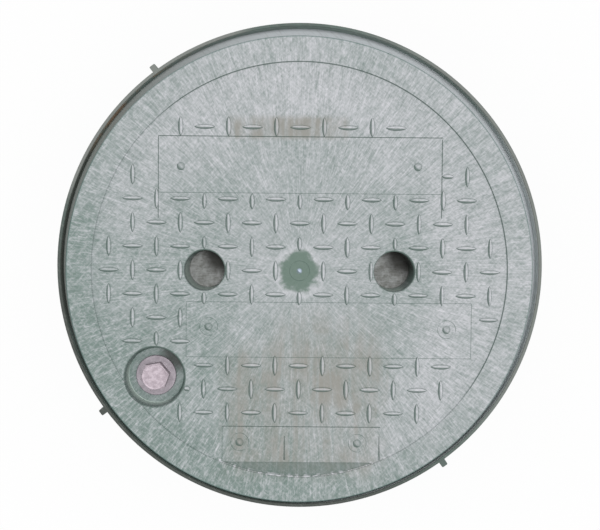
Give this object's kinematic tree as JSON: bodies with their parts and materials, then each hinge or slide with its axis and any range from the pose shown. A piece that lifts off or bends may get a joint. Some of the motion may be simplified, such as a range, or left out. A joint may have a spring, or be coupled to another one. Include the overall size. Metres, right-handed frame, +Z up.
{
  "type": "manhole cover",
  "caption": "Round moulded plastic utility-box cover with tread, two blind finger holes and a sunken hex hold-down bolt, seated on the ledge of its short frame ring.",
  "frame": {"origin": "centre of the frame ring's flat bottom edge, which is the bottom centre of the object's box", "axes": "+Z up through the cover, +Y away from the bolt side with the cover's plain upper band at the far side, +X to the right; the two finger holes lie along X"},
  "size_m": [0.268, 0.268, 0.0762],
  "materials": {
    "cover_plastic": "sun-faded grey-green structural-foam polyolefin, scuffed and chalky, dirt in the corners",
    "frame_plastic": "darker green moulded plastic, soil-stained",
    "bolt_steel": "dull stainless hex head, slightly weathered",
    "washer_steel": "dull stainless flat washer",
    "keeper_steel": "spring-steel push-on ring",
    "nut_brass": "plain brass square nut"
  },
  "bodies": {
    "frame": {"frame_ring": "frame_plastic", "captive_nut": "nut_brass"},
    "cover": {"cover": "cover_plastic"},
    "washer": {"bolt_washer": "washer_steel"},
    "bolt": {"cover_bolt": "bolt_steel", "bolt_keeper": "keeper_steel"}
  },
  "joints": [
    {"name": "cover_lift", "type": "slide", "parent": "frame", "child": "cover", "axis": [0, 0, 1], "range_m": [0, 0.15]},
    {"name": "bolt_rise", "type": "slide", "parent": "cover", "child": "washer", "axis": [0, 0, 1], "range_m": [0, 0.0119]},
    {"name": "bolt_turn", "type": "hinge", "parent": "washer", "child": "bolt", "pos_m": [-0.0804, -0.06184, 0.0681], "axis": [0, 0, 1], "range_deg": [0, 2700]}
  ],
  "couplings": [
    {"joint": "bolt_turn", "follows": "bolt_rise", "rad_per_m": 3957.9}
  ]
}
